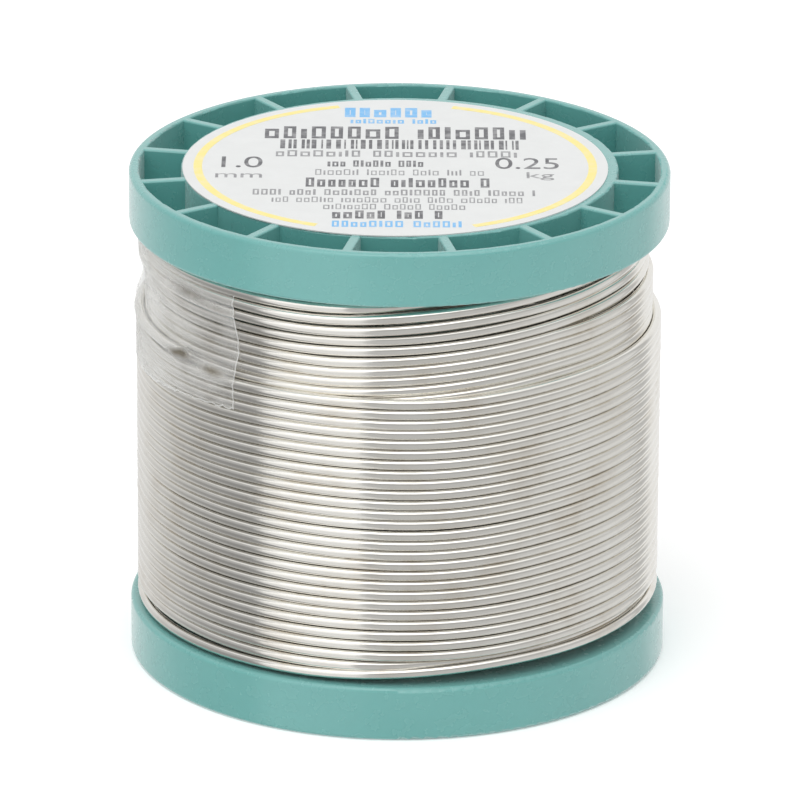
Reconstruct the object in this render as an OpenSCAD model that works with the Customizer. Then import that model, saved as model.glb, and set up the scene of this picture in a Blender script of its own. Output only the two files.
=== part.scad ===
// A small spool of flux-cored solder wire, standing on its lower flange.
// The spool is two mirror-image mouldings pressed together at mid-height.
// Millimetres, +Z along the spool's axis, origin at the centre of the bottom face.

/* [Spool] */
// Outer diameter of both flanges
flange_d = 54; // [52:0.5:60]
// Height of the bare spool
spool_h = 50.8; // [48:0.2:56]
// Height of each flange's rim
rim_h = 5.5; // [4.5:0.1:6.5]
// Wall of the rim
rim_wall = 1.0; // [0.8:0.1:1.4]
// Rounding of the rim's outer edges
rim_edge_r = 0.45; // [0.2:0.05:0.5]
// Thickness of the web that closes each flange on the wire's side
web_t = 1.3; // [1:0.1:2]
// Number of ribs in each flange's outer face
rib_count = 16; // [12:2:20]
// Thickness of a rib
rib_t = 1.0; // [0.8:0.1:1.4]
// Rounding of the free edges of ribs and rings
rib_edge_r = 0.2; // [0.1:0.05:0.3]

/* [Hub] */
// Outer diameter of the ring that carries the label
hub_ring_d = 43.6; // [42:0.2:45]
// Wall of that ring
hub_ring_wall = 1.3; // [1:0.1:1.6]
// Outer diameter of the barrel that the wire is wound on
barrel_d = 35; // [34:0.5:37]
// Wall of the barrel
barrel_wall = 1.4; // [1.2:0.1:1.8]
// Diameter of the spindle bore
bore_d = 11; // [10:0.5:12]
// Wall of the spindle tube
bore_wall = 1.4; // [1.2:0.1:1.8]
// Thickness of the four spokes between the spindle tube and the barrel
spoke_t = 1.2; // [1:0.1:1.6]
// Length of the lap where the two halves plug together
lap_h = 3; // [2:0.5:4]

/* [Label] */
// Diameter of the round paper label
label_d = 42.4; // [41:0.2:43]
// Thickness of the label
label_t = 0.12; // [0.08:0.02:0.2]
// How far the label is stuck off centre, to the side
label_off_x = -0.45; // [-0.6:0.05:0.6]
// How far the label is stuck off centre, to the front
label_off_y = -0.5; // [-0.6:0.05:0.6]

/* [Wire] */
// Diameter of the solder wire
wire_d = 1.0; // [0.8:0.1:1.2]
// Distance between the layers of turns, which nest in each other
layer_step = 0.867; // [0.86:0.001:0.88]
// Number of full layers under the outermost one
full_layers = 9; // [7:1:9]
// Height of the outermost layer, which stops short of the upper flange
outer_layer_h = 30.4; // [20:0.2:36]
// Diameter of the flux core inside the wire
core_d = 0.45; // [0.3:0.05:0.5]
// Angle where the wire's loose end is cut, from the front and to the left
tail_cut_angle = 57; // [50:1:70]
// Angle that the loose end spans before it joins the last turn
tail_span = 53; // [30:1:70]

/* [Tape] */
// Width of the clear tape that holds the wire's end
tape_w = 12; // [10:0.5:15]
// Thickness of the tape
tape_t = 0.06; // [0.04:0.01:0.1]
// Angle where the tape starts, from the front and to the left
tape_start_angle = 38; // [30:1:50]
// Angle that the tape spans around the winding
tape_span = 118; // [90:1:140]

/* [Hidden] */
$fn = 96;

flange_r = flange_d / 2;
bore_r = bore_d / 2;
bore_tube_r = bore_r + bore_wall;
barrel_r = barrel_d / 2;
barrel_in_r = barrel_r - barrel_wall;
lap_r = barrel_r - barrel_wall / 2;
hub_ring_r = hub_ring_d / 2;
hub_ring_in_r = hub_ring_r - hub_ring_wall;
rim_in_r = flange_r - rim_wall;
pocket_h = rim_h - web_t;
half_h = spool_h / 2;

wire_r = wire_d / 2;
// Radius of the wire's centre line in the last full layer and in the outermost one
last_full_r = barrel_r + wire_r + (full_layers - 1) * layer_step;
outer_turn_r = last_full_r + layer_step;
winding_z0 = rim_h;
winding_z1 = spool_h - rim_h;
step_z = winding_z0 + outer_layer_h;
// The loose end lies on the last full layer, as the turn after the outermost layer's last one
tail_z = step_z + wire_r + 0.05;
tail_r = last_full_r + wire_d + 0.03;
skin_gap = 0.03;

// A rectangle with its two corners at the low end rounded
module rounded_low(x0, x1, z1, r) {
    translate([x0, r]) square([x1 - x0, z1 - r]);
    translate([x0 + r, 0]) square([x1 - x0 - 2 * r, r]);
    translate([x0 + r, r]) circle(r);
    translate([x1 - r, r]) circle(r);
}

// Cross-section of the rim: both outer edges rounded, and the inner edge at the open side
module rim_profile() {
    translate([rim_in_r + rib_edge_r, 0])
        square([rim_wall - rib_edge_r - rim_edge_r, rim_h]);
    translate([rim_in_r, rib_edge_r]) square([rib_edge_r, rim_h - rib_edge_r]);
    translate([rim_in_r + rib_edge_r, rib_edge_r]) circle(rib_edge_r);
    translate([flange_r - rim_edge_r, rim_edge_r])
        square([rim_edge_r, rim_h - 2 * rim_edge_r]);
    for (z = [rim_edge_r, rim_h - rim_edge_r])
        translate([flange_r - rim_edge_r, z]) circle(rim_edge_r);
}

// Everything round in one half: rim, web, hub ring, barrel and spindle tube.
// The barrel's outer skin ends at mid-height, and its inner skin at inner_skin_top.
module turned_half(inner_skin_top) {
    rotate_extrude() {
        rim_profile();
        translate([barrel_in_r, pocket_h])
            square([flange_r - rim_edge_r - barrel_in_r, web_t]);
        rounded_low(hub_ring_in_r, hub_ring_r, rim_h, rib_edge_r);
        translate([lap_r, pocket_h]) square([barrel_r - lap_r, half_h - pocket_h]);
        translate([barrel_in_r, pocket_h])
            square([lap_r - barrel_in_r, inner_skin_top - pocket_h]);
        rounded_low(bore_r, bore_tube_r, half_h, rib_edge_r);
    }
}

// One straight rib with rounded free edges, from one radius to another
module rib(r0, r1, thick, top_z) {
    translate([r0, 0, 0]) rotate([90, 0, 90]) linear_extrude(r1 - r0)
        rounded_low(-thick / 2, thick / 2, top_z, rib_edge_r);
}

// The ribs of one flange, between the hub ring and the rim
module flange_ribs() {
    for (i = [0 : rib_count - 1])
        rotate([0, 0, (i + 0.5) * 360 / rib_count])
            rib(hub_ring_r - hub_ring_wall / 2, rim_in_r + rim_wall / 2, rib_t, rim_h - web_t / 2);
}

// The spokes of one half: shallow out to the hub ring, and up to the lap inside the barrel
module hub_spokes() {
    for (i = [0 : 3]) rotate([0, 0, i * 90 + 45]) {
        rib(bore_r + bore_wall / 2, hub_ring_in_r + hub_ring_wall / 2, spoke_t, rim_h - web_t / 2);
        rib(bore_r + bore_wall / 2, barrel_in_r + barrel_wall / 3, spoke_t, half_h - lap_h - 1);
    }
}

// One moulding, seen with its flange down
module spool_half(inner_skin_top) {
    color([0.45, 0.68, 0.66]) union() {
        turned_half(inner_skin_top);
        flange_ribs();
        hub_spokes();
    }
}

// The half that stands on the ground, with the socket of the lap
module lower_spool_half() {
    spool_half(half_h - lap_h);
}

// The half under the label, with the plug of the lap
module upper_spool_half() {
    translate([0, 0, spool_h]) mirror([0, 0, 1]) spool_half(half_h + lap_h);
}

// Round paper label, stuck a little off centre over the hub ring and the bore
module top_label() {
    color([0.93, 0.93, 0.93])
        translate([label_off_x, label_off_y, spool_h]) cylinder(d = label_d, h = label_t);
}

// Outer shape of all the wound turns: the full layers, then the one that stops short
module solder_winding() {
    color([0.75, 0.75, 0.72]) rotate_extrude() {
        translate([barrel_r, winding_z0])
            square([last_full_r + wire_r - barrel_r, winding_z1 - winding_z0]);
        translate([last_full_r, winding_z0])
            square([outer_turn_r + wire_r - last_full_r, outer_layer_h]);
    }
}

// A round rod bent around the spool's axis, from one angle to another, left of the front
module bent_rod(path_r, z, rod_r, angle_0, angle_1) {
    rotate([0, 0, -90 - angle_1]) translate([0, 0, z])
        rotate_extrude(angle = angle_1 - angle_0) translate([path_r, 0]) circle(rod_r);
}

// The wire's loose end, cut off square, with its flux core's channel open
module solder_wire_tail() {
    color([0.78, 0.78, 0.75]) difference() {
        bent_rod(tail_r, tail_z, wire_r, tail_cut_angle, tail_cut_angle + tail_span);
        bent_rod(tail_r, tail_z, core_d / 2, tail_cut_angle - 1, tail_cut_angle + tail_span + 1);
    }
}

// The flux in the loose end
module tail_flux_core() {
    color([0.80, 0.62, 0.28])
        bent_rod(tail_r, tail_z, core_d / 2, tail_cut_angle, tail_cut_angle + tail_span);
}

// Clear tape over the last full layer, the loose end and the top of the outermost layer
module clear_tape() {
    inner_r = last_full_r + wire_r + skin_gap;
    tail_top_r = tail_r + wire_r + skin_gap;
    outer_r = outer_turn_r + wire_r + skin_gap;
    top_z = winding_z1 - 0.3;
    low_z = top_z - tape_w;
    tent_z = tail_z + 2.2;
    color([0.9, 0.9, 0.88, 0.5])
        rotate([0, 0, -90 - tape_start_angle - tape_span])
        rotate_extrude(angle = tape_span) polygon([
            [inner_r, top_z], [inner_r, tent_z],
            [tail_top_r, tail_z + wire_r], [tail_top_r, tail_z - wire_r / 2],
            [outer_r, step_z - 0.6], [outer_r, low_z],
            [outer_r + tape_t, low_z], [outer_r + tape_t, step_z - 0.6],
            [tail_top_r + tape_t, tail_z - wire_r / 2],
            [tail_top_r + tape_t, tail_z + wire_r],
            [inner_r + tape_t, tent_z], [inner_r + tape_t, top_z]
        ]);
}

upper_spool_half();
lower_spool_half();
top_label();
solder_winding();
solder_wire_tail();
tail_flux_core();
clear_tape();
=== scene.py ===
"""Looks of a small spool of solder wire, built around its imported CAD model.

Metres, +Z up, the front of the label towards -Y. Angles on the winding are counted in degrees from
the front, positive to the right.
"""

import math

import bmesh
import bpy
import numpy as np
from mathutils import Matrix, Vector, noise


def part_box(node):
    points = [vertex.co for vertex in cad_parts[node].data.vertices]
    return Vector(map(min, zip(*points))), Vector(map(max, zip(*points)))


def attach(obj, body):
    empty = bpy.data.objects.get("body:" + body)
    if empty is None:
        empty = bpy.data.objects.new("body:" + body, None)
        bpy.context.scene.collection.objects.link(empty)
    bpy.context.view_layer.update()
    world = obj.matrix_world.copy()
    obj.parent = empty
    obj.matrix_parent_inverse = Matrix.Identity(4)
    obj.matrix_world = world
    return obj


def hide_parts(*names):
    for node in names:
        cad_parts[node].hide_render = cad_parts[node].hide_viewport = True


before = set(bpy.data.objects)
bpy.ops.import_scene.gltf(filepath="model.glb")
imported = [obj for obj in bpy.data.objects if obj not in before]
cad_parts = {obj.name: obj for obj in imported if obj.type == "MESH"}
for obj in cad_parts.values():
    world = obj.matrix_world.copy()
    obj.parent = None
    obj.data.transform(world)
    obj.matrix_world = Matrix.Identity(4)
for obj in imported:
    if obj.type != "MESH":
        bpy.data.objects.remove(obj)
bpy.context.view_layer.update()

# ---------------------------------------------------------------- sizes, from the frame
MM = 0.001
winding_low, winding_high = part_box("solder_winding")
label_low, label_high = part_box("top_label")
tail_low, tail_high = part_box("solder_wire_tail")

SPOOL_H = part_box("upper_spool_half")[1].z
WIRE_D = tail_high.z - tail_low.z
WIRE_R = WIRE_D / 2
LAYER_STEP = 0.867 * MM
FULL_LAYERS = 9
OUTER_R = winding_high.x - WIRE_R
LAST_FULL_R = OUTER_R - LAYER_STEP
FIRST_R = LAST_FULL_R - (FULL_LAYERS - 1) * LAYER_STEP
LOW_TURN_Z = winding_low.z + WIRE_R
HIGH_TURN_Z = winding_high.z - WIRE_R


# ---------------------------------------------------------------- camera
def make_camera():
    """A long lens above the front, turned a third of a degree and aimed just over the middle."""
    distance, elevation, roll = 0.843, math.radians(20.24), math.radians(0.335)
    aim_right, aim_up = 0.16 * MM, 0.49 * MM
    target = Vector((0, 0, SPOOL_H / 2))
    right = Vector((1, 0, 0))
    up = Vector((0, math.sin(elevation), math.cos(elevation)))
    place = target + distance * Vector((0, -math.cos(elevation), math.sin(elevation)))
    forward = (target + right * aim_right + up * aim_up - place).normalized()
    right = (right - forward * right.dot(forward)).normalized()
    up = right.cross(forward)
    rolled_right = right * math.cos(roll) + up * math.sin(roll)
    rolled_up = up * math.cos(roll) - right * math.sin(roll)
    camera = bpy.data.objects.new("camera", bpy.data.cameras.new("camera"))
    camera.data.lens = 376.7
    camera.data.sensor_width = 36
    axes = Matrix((rolled_right, rolled_up, -forward)).transposed()
    camera.matrix_world = Matrix.Translation(place) @ axes.to_4x4()
    bpy.context.scene.collection.objects.link(camera)
    bpy.context.scene.camera = camera


make_camera()


# ---------------------------------------------------------------- the wire's route
def eased(x):
    """0 below 0, 1 above 1, and a smooth step between."""
    x = np.clip(x, 0, 1)
    return x * x * (3 - 2 * x)


def points_at(azimuth_deg, radius, height):
    """Points from their azimuths, distances from the axis and heights."""
    a = np.radians(azimuth_deg)
    return np.stack([radius * np.sin(a), -radius * np.cos(a), height], axis=1)


def bell(azimuth_deg, centre, width):
    """1 at one azimuth, falling off to 0 on both sides of it."""
    return np.exp(-(((azimuth_deg - centre) / width) ** 2))


HIDDEN_TURNS = 39
HIDDEN_STEPS = 20


def hidden_layer(index, turns, start_z, end_z, top_gap=0.0):
    """A plain helix for a layer that other layers cover. Its last 0.8 turn climbs top_gap at once."""
    steps = int(round(turns * HIDDEN_STEPS))
    done = np.linspace(0, 1, steps + 1) * turns
    if index == FULL_LAYERS - 1:
        # The outermost layer lies on this one, so it keeps a little further in
        layer = np.full(steps + 1, index - 0.15)
    else:
        # The last quarter turn steps out to the next layer
        layer = index + eased((done - turns + 0.25) / 0.25)
    radius = FIRST_R + LAYER_STEP * layer
    z = np.interp(done, [0, turns - 0.8, turns], [start_z, end_z - top_gap, end_z])
    return points_at(-180 + 360 * done, radius, z)


def wobble(turn, azimuth_deg, size, seed):
    """A slow, smooth unevenness along a turn, different for each turn."""
    own = np.random.default_rng(seed * 1000 + int(turn))
    phase = own.uniform(0, 2 * math.pi, 3)
    share = own.uniform(0.4, 1.0, 3)
    a = np.radians(azimuth_deg)
    return size * sum(s * np.sin((k + 1) * a + p) for k, (s, p) in enumerate(zip(share, phase))) / 2


FRONT_RISE = 1.35 * MM
TOP_TURNS = 11
TOP_PITCH = 1.03 * MM
FOURTH_TURN_Z = 40.8 * MM
# The uppermost turns wander where the layers change at the flange: for each turn the azimuth, the
# height in mm, and how many layers it stands proud of the last full one.
TOP_TURN_PATHS = [
    [(-180, 44.8, 0), (-90, 44.7, 0.7), (-60, 44.55, 0.9), (-20, 44.45, 0.9), (-8, 44.6, 0.8),
     (6, 44.75, -0.6), (30, 44.8, -1), (90, 44.8, -1), (180, 44.0, 0)],
    [(-180, 44.0, 0), (-90, 43.7, 0.7), (-60, 43.6, 0.9), (-20, 43.27, 1), (-10, 43.45, 1),
     (0, 43.87, 1), (10, 44.2, 1), (20, 44.5, 0.95), (31, 44.75, 0.8), (46, 44.8, -0.4),
     (90, 44.5, -0.6), (180, 43.0, 0)],
    [(-180, 43.0, 0), (-90, 42.6, 0.7), (-60, 42.45, 0.9), (-20, 42.08, 0.85), (-10, 42.26, 0.85),
     (0, 42.58, 0.85), (10, 42.98, 0.8), (20, 43.28, 0.7), (30, 43.42, 0.5), (45, 43.46, -0.2),
     (58, 43.5, -0.8), (90, 43.3, -1), (180, 41.99, 0)],
    [(-180, 41.99, 0), (-60, 41.0, 0.1), (-20, 40.95, 0.15), (0, 41.33, 0.15), (20, 42.0, 0.1),
     (35, 42.35, 0), (50, 42.46, -0.5), (65, 42.5, -0.7), (90, 42.3, -0.8), (180, 40.96, 0)],
    [(-180, 40.96, 0), (-60, 39.85, 0), (-20, 39.8, 0), (0, 40.2, 0), (20, 40.8, 0), (33, 41.1, 0),
     (40, 41.25, -0.1), (50, 41.38, -0.25), (60, 41.42, -0.35), (78, 41.42, -0.5), (110, 41.2, -0.6),
     (180, 40.45, -0.5)],
    [(-180, 40.45, -0.5), (-60, 40.2, -1), (-20, 40.2, -1), (0, 40.3, -1), (30, 40.55, -1),
     (60, 40.75, -1), (90, 40.75, -1), (180, 39.93, 0)],
]


def softened(azimuth_deg, path, column):
    """A turn's height or layer read off its path, with the corners taken off."""
    spread = np.linspace(-9, 9, 7)
    at = np.array([row[0] for row in path], dtype=float)
    value = np.array([row[column] for row in path], dtype=float)
    return np.mean([np.interp(azimuth_deg + d, at, value) for d in spread], axis=0)


def top_turn(turn, azimuth_deg):
    """One turn of the last full layer that shows above the outermost one, counted from the top."""
    if turn < len(TOP_TURN_PATHS):
        path = TOP_TURN_PATHS[turn]
        z = softened(azimuth_deg, path, 1) * MM
        raised = softened(azimuth_deg, path, 2)
        return np.minimum(z, HIGH_TURN_Z), LAST_FULL_R + LAYER_STEP * raised
    level = FOURTH_TURN_Z - TOP_PITCH * (turn - 4)
    # It rises from left to right at the front, and falls that and a pitch more behind
    crossed = np.clip((azimuth_deg + 16) / 54, 0, 1)
    crossed = 0.6 * crossed + 0.4 * eased(crossed)
    fall_after = eased((azimuth_deg - 90) / 180)
    fall_before = eased((azimuth_deg + 360 - 90) / 180)
    z = level + FRONT_RISE * crossed - (FRONT_RISE + TOP_PITCH) * fall_after
    z = np.where(azimuth_deg < -90, level + (FRONT_RISE + TOP_PITCH) * (1 - fall_before), z)
    z = z + wobble(turn, azimuth_deg, 0.04 * MM, 3)
    return z, LAST_FULL_R + wobble(turn, azimuth_deg, 0.03 * MM, 4)


OUTER_TURNS = 28
# The outer layers start a turn above the lower flange, which shows under the first turn on the right
LOW_CLEARANCE = 1.0 * MM
FIRST_CLEAR_LAYER = 6
# The layer under the last full one leaves this much free below the upper flange, where the
# uppermost turns drop into its place
TOP_GAP = 4.8 * MM
# A little below its place in the CAD, but still around its flux core
TAIL_Z = (tail_low.z + tail_high.z) / 2 - 0.2 * MM
TAIL_R = LAST_FULL_R + WIRE_D + 0.03 * MM
# Just past the flux core's end, which the cutters have pinched shut
TAIL_CUT = -56.6
FIRST_OUTER_Z = 6.3 * MM
OUTER_PITCH = 1.098 * MM
# How much closer each turn lies to the one below than that one does to its own
OUTER_CLOSING = 0.00115 * MM
# Shares of a turn's climb on the front right and behind on the right; the rest is behind on the left
FRONT_CLIMB, BEHIND_CLIMB = 0.30, 0.35


def outer_level(turn):
    return FIRST_OUTER_Z + OUTER_PITCH * turn - OUTER_CLOSING * turn * turn


def outer_turn(turn, azimuth_deg):
    """One turn of the outermost layer, counted from the lower flange. It climbs mostly behind."""
    pitch = outer_level(turn + 1) - outer_level(turn)
    climb = FRONT_CLIMB * eased((azimuth_deg - 8) / 42) + BEHIND_CLIMB * eased((azimuth_deg - 90) / 90)
    climb = climb - (1 - FRONT_CLIMB - BEHIND_CLIMB) * (1 - eased((azimuth_deg + 180) / 90))
    dip = 0.2 * MM * float(eased((turn - 5) / 8)) * bell(azimuth_deg, 6, 20)
    sag = 0.28 * MM * float(eased((turn - 14) / 8)) * bell(azimuth_deg, -58, 26)
    z = outer_level(turn) + pitch * climb - dip - sag + wobble(turn, azimuth_deg, 0.03 * MM, 5)
    r = OUTER_R + wobble(turn, azimuth_deg, 0.02 * MM, 6)
    left = bell(azimuth_deg, -68, 26)
    if turn == 0:
        # The first turn comes up from the layer below at the back, and leaves the flange on the
        # right to take the second one's place
        z = FIRST_OUTER_Z - 0.1 * MM * left + 0.9 * MM * eased((azimuth_deg + 24) / 56)
        z = z - 0.27 * MM * eased((azimuth_deg - 60) / 120)
        r = r - LAYER_STEP * (1 - eased((azimuth_deg + 180) / 50))
    else:
        # The lower turns are pushed up a little on the left
        low_down = float(1 - eased((turn - 1) / 6))
        z = z + (0.22 + 0.12 * (turn == 1)) * MM * low_down * left
    if turn == 1:
        # The second turn gives way into the layer below there
        tucked = eased((azimuth_deg + 12) / 26) * (1 - eased((azimuth_deg - 120) / 50))
        r = r - 0.9 * LAYER_STEP * tucked
    if turn == OUTER_TURNS:
        # The loose end settles into its own place behind the left side
        settled = eased((azimuth_deg + 150) / 32)
        z = z + (TAIL_Z - z) * settled
        r = r + (TAIL_R - r) * settled
    return z, r


SEEN_STEP = 3.75
# The rings that close the cut end: how many degrees before the cut, and their shares of the radius.
# The first one is still full size.
CUT_RINGS = np.array([1.2, 0.75, 0.3, 0.1, 0])
PINCHED_END = (0.98, 0.86, 0.66, 0.36)


def seen_turns(turn_shape, count):
    """Ring centres of the first few turns of a layer that shows, one after the other."""
    azimuth_deg = np.arange(0, 360, SEEN_STEP) - 180
    shapes = [turn_shape(turn, azimuth_deg) for turn in range(count)]
    return [points_at(azimuth_deg, r, z) for z, r in shapes]


def wire_sections():
    """The whole wire as a list of (ring centres, is it seen), from its inner end to its cut end."""
    sections = []
    for k in range(FULL_LAYERS - 1):
        low_end = LOW_TURN_Z + (LOW_CLEARANCE if k >= FIRST_CLEAR_LAYER else 0)
        ends = (HIGH_TURN_Z, low_end) if k % 2 == 0 else (low_end, HIGH_TURN_Z)
        top_gap = TOP_GAP if k == FULL_LAYERS - 2 else 0
        sections.append((hidden_layer(k, HIDDEN_TURNS, *ends, top_gap), False))
    top = seen_turns(top_turn, TOP_TURNS)
    sections.append((np.concatenate(top), True))
    lowest_seen = top[-1][-1][2]
    covered = hidden_layer(
        FULL_LAYERS - 1, HIDDEN_TURNS - TOP_TURNS, lowest_seen, LOW_TURN_Z + LOW_CLEARANCE)
    sections.append((covered, False))
    last = np.append(np.arange(-180, TAIL_CUT - 1.5, SEEN_STEP), TAIL_CUT - CUT_RINGS)
    z, r = outer_turn(OUTER_TURNS, last)
    outer = seen_turns(outer_turn, OUTER_TURNS) + [points_at(last, r, z)]
    sections.append((np.concatenate(outer), True))
    return sections


# Directions around the wire's section, closer together on the side that shows
SEEN_ANGLES = np.radians([0, 18, 36, 54, 72, 90, 108, 145, 180, 215, 252, 270, 288, 306, 324, 342])
HIDDEN_ANGLES = np.radians([0, 72, 144, 216, 288])


def tube(bm, centres, angles, radius, end_shares=(1.0,)):
    """Adds a tube with capped ends to bm. Angle 0 points away from the spool's axis, 90 degrees up.

    end_shares gives the last rings' radii as shares of the full one.
    """
    along = np.gradient(centres, axis=0)
    along /= np.linalg.norm(along, axis=1)[:, None]
    up = np.array([0, 0, 1.0])
    outward = np.cross(along, up)
    outward /= np.linalg.norm(outward, axis=1)[:, None]
    upward = np.cross(outward, along)
    n, sides = len(centres), len(angles)
    radii = np.full(n, radius)
    radii[-len(end_shares):] *= end_shares
    rings = (
        centres[:, None, :]
        + radii[:, None, None] * np.cos(angles)[None, :, None] * outward[:, None, :]
        + radii[:, None, None] * np.sin(angles)[None, :, None] * upward[:, None, :]
    )
    verts = [bm.verts.new(p) for p in rings.reshape(-1, 3)]
    for i in range(n - 1):
        for s in range(sides):
            t = (s + 1) % sides
            a, b = i * sides, (i + 1) * sides
            bm.faces.new((verts[a + s], verts[a + t], verts[b + t], verts[b + s]))
    bm.faces.new([verts[s] for s in range(sides)][::-1])
    bm.faces.new([verts[(n - 1) * sides + s] for s in range(sides)])


def new_piece(name, bm, material, smooth=True):
    mesh = bpy.data.meshes.new(name)
    bm.normal_update()
    bm.to_mesh(mesh)
    bm.free()
    mesh.materials.append(material)
    for polygon in mesh.polygons:
        polygon.use_smooth = smooth
    piece = bpy.data.objects.new(name, mesh)
    bpy.context.scene.collection.objects.link(piece)
    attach(piece, "root")
    return piece


# ---------------------------------------------------------------- materials
def node_material(name):
    material = bpy.data.materials.new(name)
    material.use_nodes = True
    nodes = material.node_tree.nodes
    return material, nodes, material.node_tree.links, nodes["Principled BSDF"]


def noise_node(nodes, links, scale, detail, roughness=0.5):
    coords = nodes.new("ShaderNodeTexCoord")
    texture = nodes.new("ShaderNodeTexNoise")
    texture.inputs["Scale"].default_value = scale
    texture.inputs["Detail"].default_value = detail
    texture.inputs["Roughness"].default_value = roughness
    links.new(coords.outputs["Object"], texture.inputs["Vector"])
    return texture


def ramp_node(nodes, links, source, stops):
    ramp = nodes.new("ShaderNodeValToRGB")
    elements = ramp.color_ramp.elements
    while len(elements) < len(stops):
        elements.new(0.5)
    for element, (position, colour) in zip(elements, stops):
        element.position = position
        element.color = (*colour, 1) if len(colour) == 3 else colour
    links.new(source, ramp.inputs["Fac"])
    return ramp


def bump_node(nodes, links, height, strength, distance):
    bump = nodes.new("ShaderNodeBump")
    bump.inputs["Strength"].default_value = strength
    bump.inputs["Distance"].default_value = distance
    links.new(height, bump.inputs["Height"])
    return bump


def grey(value):
    return (value, value, value)


def surface_material(name, tone, colours, fine, roughness, bump):
    """A material whose colour follows one noise, and whose roughness and bump follow another.

    tone and fine are the noises' scale, detail and roughness; colours and roughness are ramp stops;
    bump is a strength and a distance.
    """
    material, nodes, links, shader = node_material(name)
    broad = noise_node(nodes, links, *tone)
    colour = ramp_node(nodes, links, broad.outputs["Fac"], colours)
    links.new(colour.outputs["Color"], shader.inputs["Base Color"])
    close = noise_node(nodes, links, *fine)
    rough = ramp_node(nodes, links, close.outputs["Fac"], [(at, grey(value)) for at, value in roughness])
    links.new(rough.outputs["Color"], shader.inputs["Roughness"])
    relief = bump_node(nodes, links, close.outputs["Fac"], *bump)
    links.new(relief.outputs["Normal"], shader.inputs["Normal"])
    return material


def solder_material():
    """Bright tin alloy, a little yellower in patches."""
    material = surface_material(
        "solder_wire",
        tone=(160, 5, 0.6),
        colours=[(0.30, (0.80, 0.765, 0.70)), (0.48, (0.87, 0.85, 0.80)), (0.70, (0.90, 0.885, 0.84))],
        fine=(1400, 5, 0.6),
        roughness=[(0.25, 0.09), (0.75, 0.16)],
        bump=(0.12, 0.03 * MM),
    )
    material.node_tree.nodes["Principled BSDF"].inputs["Metallic"].default_value = 1.0
    return material


def spool_material():
    """Teal moulded plastic, glossy at a low angle."""
    material = surface_material(
        "spool_plastic",
        tone=(90, 5),
        colours=[(0.3, (0.124, 0.384, 0.362)), (0.7, (0.138, 0.406, 0.380))],
        fine=(700, 4, 0.5),
        roughness=[(0.3, 0.22), (0.7, 0.30)],
        bump=(0.04, 0.03 * MM),
    )
    shader = material.node_tree.nodes["Principled BSDF"]
    shader.inputs["IOR"].default_value = 1.85
    shader.inputs["Sheen Weight"].default_value = 0.45
    shader.inputs["Sheen Roughness"].default_value = 0.4
    return material


def paper_material():
    """Smooth white label paper."""
    return surface_material(
        "label_paper",
        tone=(500, 6, 0.6),
        colours=[(0.3, (0.70, 0.71, 0.705)), (0.7, (0.735, 0.745, 0.74))],
        fine=(500, 6, 0.6),
        roughness=[(0.3, 0.5), (0.7, 0.62)],
        bump=(0.1, 0.03 * MM),
    )


def ink_material(name, colour):
    """Printing ink, worn paler in places."""
    worn = tuple(c + 0.35 * (0.8 - c) for c in colour)
    return surface_material(
        name,
        tone=(900, 4),
        colours=[(0.42, colour), (0.75, worn)],
        fine=(900, 4),
        roughness=[(0.3, 0.40), (0.7, 0.55)],
        bump=(0.1, 0.01 * MM),
    )


def flux_material():
    """Brown rosin."""
    return surface_material(
        "flux",
        tone=(3000, 3),
        colours=[(0.3, (0.30, 0.18, 0.06)), (0.7, (0.42, 0.27, 0.11))],
        fine=(3000, 3),
        roughness=[(0.3, 0.2), (0.7, 0.4)],
        bump=(0.2, 0.01 * MM),
    )


def floor_material():
    """A white sweep that glows faintly, so that it stays white up to the horizon."""
    material, nodes, links, shader = node_material("floor")
    tone = noise_node(nodes, links, 3, 2)
    colour = ramp_node(nodes, links, tone.outputs["Fac"], [(0.3, grey(0.89)), (0.7, grey(0.9))])
    links.new(colour.outputs["Color"], shader.inputs["Base Color"])
    shader.inputs["Roughness"].default_value = 0.9
    shader.inputs["Emission Color"].default_value = (1, 1, 1, 1)
    shader.inputs["Emission Strength"].default_value = 0.22
    return material


solder = solder_material()
plastic = spool_material()
paper = paper_material()


# ---------------------------------------------------------------- the wire
# Shares of the wire's radius that its turns are drawn with, which narrows the gaps between them
SEEN_FULLNESS, HIDDEN_FULLNESS = 1.04, 1.05


def make_wire():
    sections = wire_sections()
    bm = bmesh.new()
    for number, (centres, seen) in enumerate(sections):
        if seen:
            cut_end = number == len(sections) - 1
            end_shares = PINCHED_END if cut_end else (1.0,)
            tube(bm, centres, SEEN_ANGLES, WIRE_R * SEEN_FULLNESS, end_shares)
        else:
            tube(bm, centres, HIDDEN_ANGLES, WIRE_R * HIDDEN_FULLNESS)
    wire = new_piece("solder_wire", bm, solder)
    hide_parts("solder_winding", "solder_wire_tail")


make_wire()

# ---------------------------------------------------------------- the label's print
LABEL_X = (label_low.x + label_high.x) / 2
LABEL_Y = (label_low.y + label_high.y) / 2
INK_LOW = label_high.z + 0.001 * MM
INK_HIGH = label_high.z + 0.012 * MM


def ink_block(bm, x0, x1, y0, y1):
    """A printed rectangle, as a very thin slab on the paper. Millimetres from the spool's axis."""
    corners = [(x0, y0), (x1, y0), (x1, y1), (x0, y1)]
    low = [bm.verts.new((x * MM, y * MM, INK_LOW)) for x, y in corners]
    high = [bm.verts.new((x * MM, y * MM, INK_HIGH)) for x, y in corners]
    bm.faces.new(low[::-1])
    bm.faces.new(high)
    for i in range(4):
        j = (i + 1) % 4
        bm.faces.new((low[i], low[j], high[j], high[i]))


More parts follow.
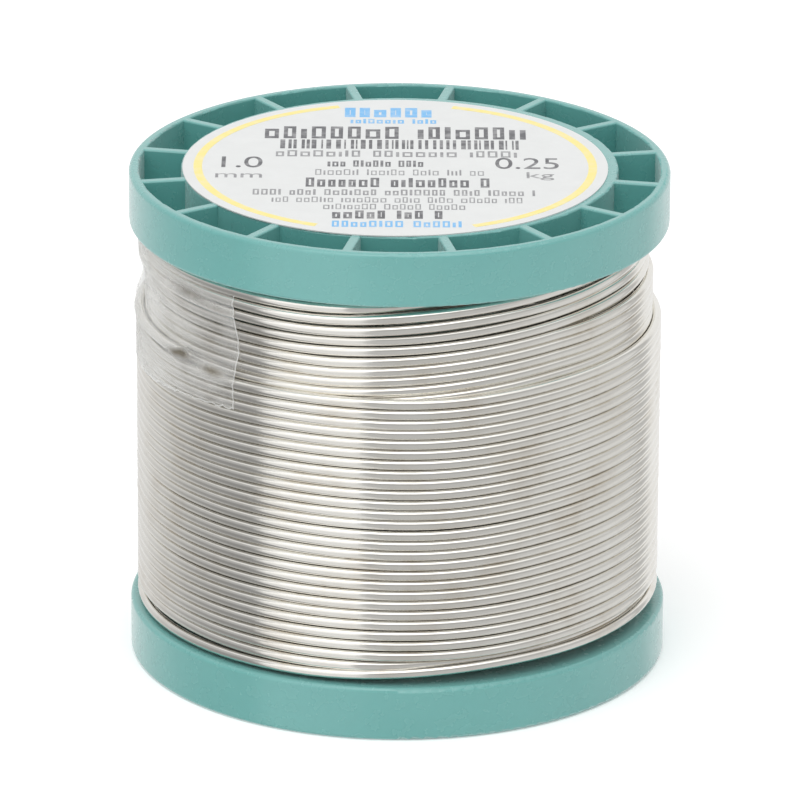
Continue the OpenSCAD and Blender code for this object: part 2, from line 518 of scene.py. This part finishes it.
def ink_arc(bm, radius, width, start_deg, end_deg):
    """A printed ring segment around the label's centre, counted from the front to the right."""
    outer = radius + width
    section = ((radius, INK_LOW), (outer, INK_LOW), (outer, INK_HIGH), (radius, INK_HIGH))
    rows = []
    for a in np.radians(np.linspace(start_deg, end_deg, 97)):
        across, back = math.sin(a), -math.cos(a)
        rows.append([bm.verts.new((LABEL_X + r * across, LABEL_Y + r * back, z)) for r, z in section])
    for one, two in zip(rows, rows[1:]):
        for i in range(4):
            j = (i + 1) % 4
            bm.faces.new((one[i], one[j], two[j], two[i]))
    bm.faces.new(rows[0][::-1])
    bm.faces.new(rows[-1])


def ink_frame(bm, x0, x1, y0, y1, stroke):
    """An empty printed box. Its level strokes are broader, as the label is seen at a low angle."""
    across, along = stroke, min(1.5 * stroke, (y1 - y0) / 3)
    ink_block(bm, x0, x0 + across, y0, y1)
    ink_block(bm, x1 - across, x1, y0, y1)
    ink_block(bm, x0 + across, x1 - across, y0, y0 + along)
    ink_block(bm, x0 + across, x1 - across, y1 - along, y1)


def greeked_line(bm, x0, x1, y0, y1, letter, stroke, rng):
    """A line of unreadable print: words of small empty boxes and bars, as a printer's dummy text."""
    x = x0
    while x < x1 - letter * 0.6:
        for _ in range(int(rng.integers(3, 9))):
            narrow = rng.random() < 0.22
            width = stroke * 1.4 if narrow else letter * rng.uniform(0.6, 0.78)
            if x + width > x1:
                break
            head = y1 - (y1 - y0) * rng.choice([0.0, 0.22])
            if narrow:
                ink_block(bm, x, x + width, y0, head)
            else:
                ink_frame(bm, x, x + width, y0, head, stroke)
            x += width + letter * 0.26
        x += letter * 0.75


def barcode(bm, x0, x1, y0, y1, rng):
    """Bars and gaps of random width, which hold no number."""
    x = x0
    while x < x1:
        bar = rng.choice([0.16, 0.32, 0.48])
        ink_block(bm, x, min(x + bar, x1), y0, y1)
        x += bar + rng.choice([0.18, 0.34, 0.5])


# How tall the default font's figures are, as a share of its size
FIGURE_HEIGHT = 0.7


def ink_figures(bm, body, x, y, height, stretch):
    """Plain figures in the default font, as thin solids. x and y are their left foot, in mm."""
    curve = bpy.data.curves.new("figures", "FONT")
    curve.body = body
    curve.size = height / FIGURE_HEIGHT
    curve.extrude = (INK_HIGH - INK_LOW) / 2 / MM
    holder = bpy.data.objects.new("figures", curve)
    bpy.context.scene.collection.objects.link(holder)
    mesh = bpy.data.meshes.new_from_object(holder)
    mesh.transform(Matrix.Diagonal((stretch * MM, MM, MM, 1)))
    mesh.transform(Matrix.Translation((x * MM, y * MM, (INK_LOW + INK_HIGH) / 2)))
    bm.from_mesh(mesh)
    bpy.data.meshes.remove(mesh)
    bpy.data.objects.remove(holder)
    bpy.data.curves.remove(curve)


def make_label_print():
    """A generic label: dummy lines, a meaningless barcode, and the wire's diameter and weight."""
    rng = np.random.default_rng(7)
    dark, pale, blue, ring = (bmesh.new() for _ in range(4))
    # Lines as left end, right end, foot, head, letter width and stroke, in mm
    greeked_line(dark, -13.6, 13.4, 8.1, 11.9, 1.9, 0.42, rng)
    barcode(dark, -12, 12.4, 4.9, 7.7, rng)
    for line in [(-7.2, 2.6, -0.7, 1.2, 0.78, 0.2), (-9.3, 9.4, -7.0, -4.2, 1.15, 0.3),
                 (-6.6, 4.8, -16.6, -14.2, 1.15, 0.32)]:
        greeked_line(dark, *line, rng)
    for line in [(-12.4, 11.8, 2.4, 4.3, 1.3, 0.22), (-8.4, 8.4, -3.3, -1.6, 0.85, 0.13),
                 (-14.5, 14.0, -9.5, -7.8, 0.85, 0.18), (-12.6, 12.4, -11.7, -10.1, 0.8, 0.13),
                 (-7.5, 7.5, -13.8, -12.2, 0.8, 0.13)]:
        greeked_line(pale, *line, rng)
    for line in [(-5.6, 4.3, 15.0, 18.0, 1.6, 0.5), (-5.0, 3.8, 13.0, 14.4, 0.85, 0.2),
                 (-6.6, 6.8, -19.1, -17.3, 1.0, 0.22)]:
        greeked_line(blue, *line, rng)
    ink_figures(dark, "1.0", -18.6, -1.1, 3.4, 0.85)
    ink_figures(pale, "mm", -18.5, -4.3, 1.9, 1.2)
    ink_figures(dark, "0.25", 9.4, -1.1, 3.4, 0.8)
    ink_figures(pale, "kg", 12.4, -4.0, 1.9, 1.2)
    ring_r, ring_width = 19.25 * MM, 0.85 * MM
    back_gap, front_gap = 17, 23
    ink_arc(ring, ring_r, ring_width, front_gap, 180 - back_gap)
    ink_arc(ring, ring_r, ring_width, 180 + back_gap, 360 - front_gap)
    colours = {
        "label_dark_print": (dark, (0.10, 0.10, 0.11)),
        "label_pale_print": (pale, (0.25, 0.25, 0.26)),
        "label_blue_print": (blue, (0.16, 0.46, 0.80)),
        "label_ring": (ring, (0.90, 0.76, 0.26)),
    }
    for name, (bm, colour) in colours.items():
        bmesh.ops.recalc_face_normals(bm, faces=bm.faces)
        new_piece(name, bm, ink_material(name, colour), smooth=False)


make_label_print()


# ---------------------------------------------------------------- the clear tape
TAPE_START, TAPE_END = -38.0, -156.0
TAPE_T = 0.06 * MM
# How far the film stands off the turns, and the steepest that it slopes
TAPE_GAP = 0.05 * MM
TAPE_SLOPE = 0.30
# Each wrinkle is an azimuth, and where its middle is from 0 at the lower edge to 1 at the upper one
WRINKLES = ((-63.7, 0.45), (-71.0, 0.35), (-52.0, 0.2), (-97.0, 0.4), (-128.0, 0.5))
# Dark blots in the film: glue that has taken up flux around the wire's cut end, a painted shadow in the
# gap where the last turn ends, and painted darker reflections on the upper turns near the tape's end.
# Each blot is an azimuth and a height in mm, how far it spreads in degrees and mm, and how dark it is.
BLOTS = ((-55.5, 36.15, 4.2, 0.55, 1.1), (-44.5, 35.7, 4.5, 0.6, 1.0), (-52.0, 43.0, 6.5, 0.7, 0.8),
         (-42.0, 42.3, 5.0, 0.5, 0.6))


def winding_skin(azimuth_deg, heights):
    """How far out the winding reaches at each height, for one azimuth."""
    here = np.array([azimuth_deg])
    turns = [outer_turn(i, here) for i in range(OUTER_TURNS - 7, OUTER_TURNS)]
    if azimuth_deg <= TAIL_CUT:
        turns.append(outer_turn(OUTER_TURNS, here))
    turns += [top_turn(i, here) for i in range(TOP_TURNS)]
    skin = np.full(len(heights), float(LAST_FULL_R))
    for z, r in turns:
        inside = np.clip(WIRE_R**2 - (heights - z[0]) ** 2, 0, None)
        skin = np.where(inside > 0, np.maximum(skin, r[0] + np.sqrt(inside)), skin)
    return skin


def bridged(skin, heights, steepest):
    """The skin with its grooves spanned, as a film lies that slopes no more than steepest."""
    apart = np.abs(heights[:, None] - heights[None, :])
    return (skin[None, :] - steepest * apart).max(axis=1)


def glue_and_shade_at(azimuth_deg, z):
    """How dark the blots are at one point: flux-stained glue at the cut end, painted shadow and painted
    darker reflections elsewhere.
    """
    return sum(
        depth * math.exp(-(((azimuth_deg - a) / wide) ** 2) - ((z / MM - height) / high) ** 2)
        for a, height, wide, high, depth in BLOTS
    )


def make_tape():
    """Film over the turns, tented at the step, with a torn lower edge and a few wrinkles.

    Its columns are a degree apart, and closer at the cut end. The "edge" attribute is 1 along the cut
    and torn edges, and elsewhere it grows to the left, where the film is milkier.
    """
    rng = np.random.default_rng(11)
    close_columns = [TAPE_START, TAPE_START - 0.25, TAPE_START - 0.6]
    columns = np.append(close_columns, np.arange(TAPE_START - 1, TAPE_END - 0.01, -1.0))
    across = np.linspace(0, 1, 56)
    low_edge = 32.5 * MM + 0.025 * MM * (columns - TAPE_START)
    low_edge = low_edge + rng.uniform(-0.14, 0.14, len(columns)) * MM
    low_edge = np.maximum(low_edge, 31.0 * MM)
    high_edge = np.interp(-columns, [38, 60, 156], [44.25, 44.9, 44.9]) * MM
    end_wave = 0.25 * np.cumsum(rng.uniform(-1, 1, len(across)))
    end_wave = end_wave - end_wave.mean()
    bm = bmesh.new()
    edge_layer = bm.verts.layers.float.new("edge")
    glue_and_shade_layer = bm.verts.layers.float.new("glue_and_shade")
    layers = [[], []]
    for c, azimuth_deg in enumerate(columns):
        z = low_edge[c] + (high_edge[c] - low_edge[c]) * across
        radius = bridged(winding_skin(azimuth_deg, z), z, TAPE_SLOPE) + TAPE_GAP
        milky = 0.36 * float(eased((-azimuth_deg - 44) / 32))
        a = np.full(len(across), azimuth_deg)
        if c < len(close_columns):
            a = a + end_wave * 0.4
        for wrinkle, reach in WRINKLES:
            ridge = math.exp(-(((azimuth_deg - wrinkle) / 0.8) ** 2))
            radius = radius + 0.16 * MM * ridge * np.clip(1 - np.abs(across - reach) / 0.3, 0, 1)
        points = points_at(a, radius, z)
        for p, point in enumerate(points):
            unevenness = noise.noise(Vector(point) * 420) * 0.025 * MM
            for side, film in enumerate(layers):
                scale = 1 + (unevenness + side * TAPE_T) / radius[p]
                vert = bm.verts.new((point[0] * scale, point[1] * scale, point[2]))
                vert[edge_layer] = 1.0 if c == 0 or p == 0 else milky
                # Blot darkness: flux-stained glue at the cut end, painted shadow and painted darker
                # reflections elsewhere
                vert[glue_and_shade_layer] = glue_and_shade_at(azimuth_deg, z[p])
                film.append(vert)
    rows, n = len(columns), len(across)
    inner, outer = layers
    for c in range(rows - 1):
        for p in range(n - 1):
            i, j = c * n + p, (c + 1) * n + p
            bm.faces.new((outer[i], outer[i + 1], outer[j + 1], outer[j]))
            bm.faces.new((inner[i], inner[j], inner[j + 1], inner[i + 1]))
    rim = [c * n for c in range(rows)] + [(rows - 1) * n + p for p in range(1, n)]
    rim += [c * n + n - 1 for c in range(rows - 2, -1, -1)] + [p for p in range(n - 2, 0, -1)]
    for one, two in zip(rim, rim[1:] + rim[:1]):
        bm.faces.new((inner[one], inner[two], outer[two], outer[one]))
    bmesh.ops.recalc_face_normals(bm, faces=bm.faces)
    tape = new_piece("holding_tape", bm, tape_material())
    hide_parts("clear_tape")


def tape_material():
    """Clear film gone a little milky, whiter along its cut and torn edges, and darker at the blots:
    flux-stained glue at the cut end, painted shadow and painted darker reflections elsewhere.
    """
    material, nodes, links, shader = node_material("tape_film")
    shader.inputs["Specular IOR Level"].default_value = 0.6
    cloud = noise_node(nodes, links, 260, 5, 0.65).outputs["Fac"]

    def attribute(name):
        node = nodes.new("ShaderNodeAttribute")
        node.attribute_name = name
        return node.outputs["Fac"]

    def added(value, share, base):
        """A share of one value on top of another, at most 1."""
        node = nodes.new("ShaderNodeMath")
        node.operation = "MULTIPLY_ADD"
        node.use_clamp = True
        links.new(value, node.inputs[0])
        node.inputs[1].default_value = share
        links.new(base, node.inputs[2])
        return node.outputs[0]

    haze = ramp_node(nodes, links, cloud, [(0.35, grey(0.02)), (0.70, grey(0.15))])
    # The blots make the film darker and more opaque: flux-stained glue at the cut end, a painted shadow
    # in the gap where the last turn ends, and painted darker reflections on the upper turns
    glue_and_shade = attribute("glue_and_shade")
    milky = added(attribute("edge"), 0.45, haze.outputs["Color"])
    links.new(added(glue_and_shade, 0.62, milky), shader.inputs["Alpha"])
    clean = ramp_node(nodes, links, cloud, [(0.3, (0.90, 0.91, 0.90)), (0.7, (0.96, 0.97, 0.96))])
    dark = ramp_node(nodes, links, cloud, [(0.3, (0.17, 0.15, 0.115)), (0.7, (0.29, 0.265, 0.21))])
    colour = nodes.new("ShaderNodeMix")
    colour.data_type = "RGBA"
    links.new(glue_and_shade, colour.inputs["Factor"])
    links.new(clean.outputs["Color"], colour.inputs["A"])
    links.new(dark.outputs["Color"], colour.inputs["B"])
    links.new(colour.outputs["Result"], shader.inputs["Base Color"])
    rough = ramp_node(nodes, links, cloud, [(0.3, grey(0.18)), (0.7, grey(0.34))])
    links.new(rough.outputs["Color"], shader.inputs["Roughness"])
    relief = bump_node(nodes, links, cloud, 0.2, 0.05 * MM)
    links.new(relief.outputs["Normal"], shader.inputs["Normal"])
    return material


make_tape()


# ---------------------------------------------------------------- carried-over CAD nodes
def finish_node(name, material):
    """Gives a carried-over CAD node its material."""
    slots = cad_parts[name].data.materials
    slots.clear()
    slots.append(material)


finish_node("upper_spool_half", plastic)
finish_node("lower_spool_half", plastic)
finish_node("top_label", paper)
finish_node("tail_flux_core", flux_material())


# ---------------------------------------------------------------- floor and light
def make_floor():
    bm = bmesh.new()
    bmesh.ops.create_grid(bm, x_segments=1, y_segments=1, size=3.0)
    mesh = bpy.data.meshes.new("floor")
    bm.to_mesh(mesh)
    bm.free()
    mesh.materials.append(floor_material())
    floor = bpy.data.objects.new("floor", mesh)
    floor.location.z = -0.02 * MM
    floor.visible_glossy = False
    bpy.context.scene.collection.objects.link(floor)


make_floor()


def make_world():
    """A studio seen by direction: its floor level, walls and ceiling are brighter in some directions.

    Each row is an azimuth from the front, positive to the right, and the brightness there.
    """
    low = [
        (-180, 0.92), (-140, 0.72), (-120, 0.56), (-100, 0.36), (-84, 0.30), (-64, 0.28), (-59, 0.84),
        (-17, 0.82), (-14, 0.53), (40, 0.55), (80, 0.70), (120, 0.76), (126, 0.55), (133, 0.55),
        (141, 0.88), (180, 0.92),
    ]
    middle = [
        (-180, 0.92), (-140, 0.76), (-120, 0.64), (-100, 0.50), (-64, 0.44), (-59, 1.12), (-17, 1.12),
        (-14, 0.44), (40, 0.44), (80, 0.52), (120, 0.64), (126, 0.50), (133, 0.50), (141, 0.88),
        (180, 0.92),
    ]
    high = [
        (-180, 1.0), (-106, 0.85), (-98, 0.85), (-64, 0.9), (-59, 1.55), (-17, 1.65), (-14, 1.9),
        (30, 1.7), (70, 1.0), (118, 0.9), (146, 1.0), (180, 1.0),
    ]
    world = bpy.data.worlds.new("studio")
    bpy.context.scene.world = world
    world.use_nodes = True
    nodes, links = world.node_tree.nodes, world.node_tree.links
    background = nodes["Background"]
    coords = nodes.new("ShaderNodeTexCoord")
    split = nodes.new("ShaderNodeSeparateXYZ")
    links.new(coords.outputs["Generated"], split.inputs["Vector"])

    def maths(operation, a, b):
        node = nodes.new("ShaderNodeMath")
        node.operation = operation
        for socket, value in zip(node.inputs, (a, b)):
            if isinstance(value, (int, float)):
                socket.default_value = value
            else:
                links.new(value, socket)
        return node.outputs[0]

    front = maths("MULTIPLY", split.outputs["Y"], -1.0)
    azimuth = maths("ARCTAN2", split.outputs["X"], front)
    turn = maths("ADD", maths("DIVIDE", azimuth, 2 * math.pi), 0.5)

    def zone(stops):
        ramp = ramp_node(nodes, links, turn, [((a + 180) / 360, grey(v)) for a, v in stops])
        return ramp.outputs["Color"]

    def blend(below, above, start, end):
        """One zone over another, changing between two sines of the elevation."""
        height = nodes.new("ShaderNodeMapRange")
        height.interpolation_type = "SMOOTHSTEP"
        height.inputs["From Min"].default_value = start
        height.inputs["From Max"].default_value = end
        links.new(split.outputs["Z"], height.inputs["Value"])
        mix = nodes.new("ShaderNodeMix")
        mix.data_type = "RGBA"
        links.new(height.outputs["Result"], mix.inputs["Factor"])
        links.new(below, mix.inputs["A"])
        links.new(above, mix.inputs["B"])
        return mix.outputs["Result"]

    walls = blend(zone(low), zone(middle), -0.1, 0.35)
    links.new(blend(walls, zone(high), 0.52, 0.74), background.inputs["Color"])


def make_overhead_light():
    """A large soft light over the front left. It lights the matt surfaces and leaves no mirror image."""
    light = bpy.data.lights.new("overhead_light", "AREA")
    light.size = 0.5
    light.energy = 1.15
    holder = bpy.data.objects.new("overhead_light", light)
    place = Vector((-0.15, -0.2, 0.7))
    holder.location = place
    holder.rotation_euler = place.to_track_quat("Z", "Y").to_euler()
    holder.visible_glossy = False
    bpy.context.scene.collection.objects.link(holder)


make_overhead_light()
make_world()
bpy.context.scene.view_settings.view_transform = "Standard"
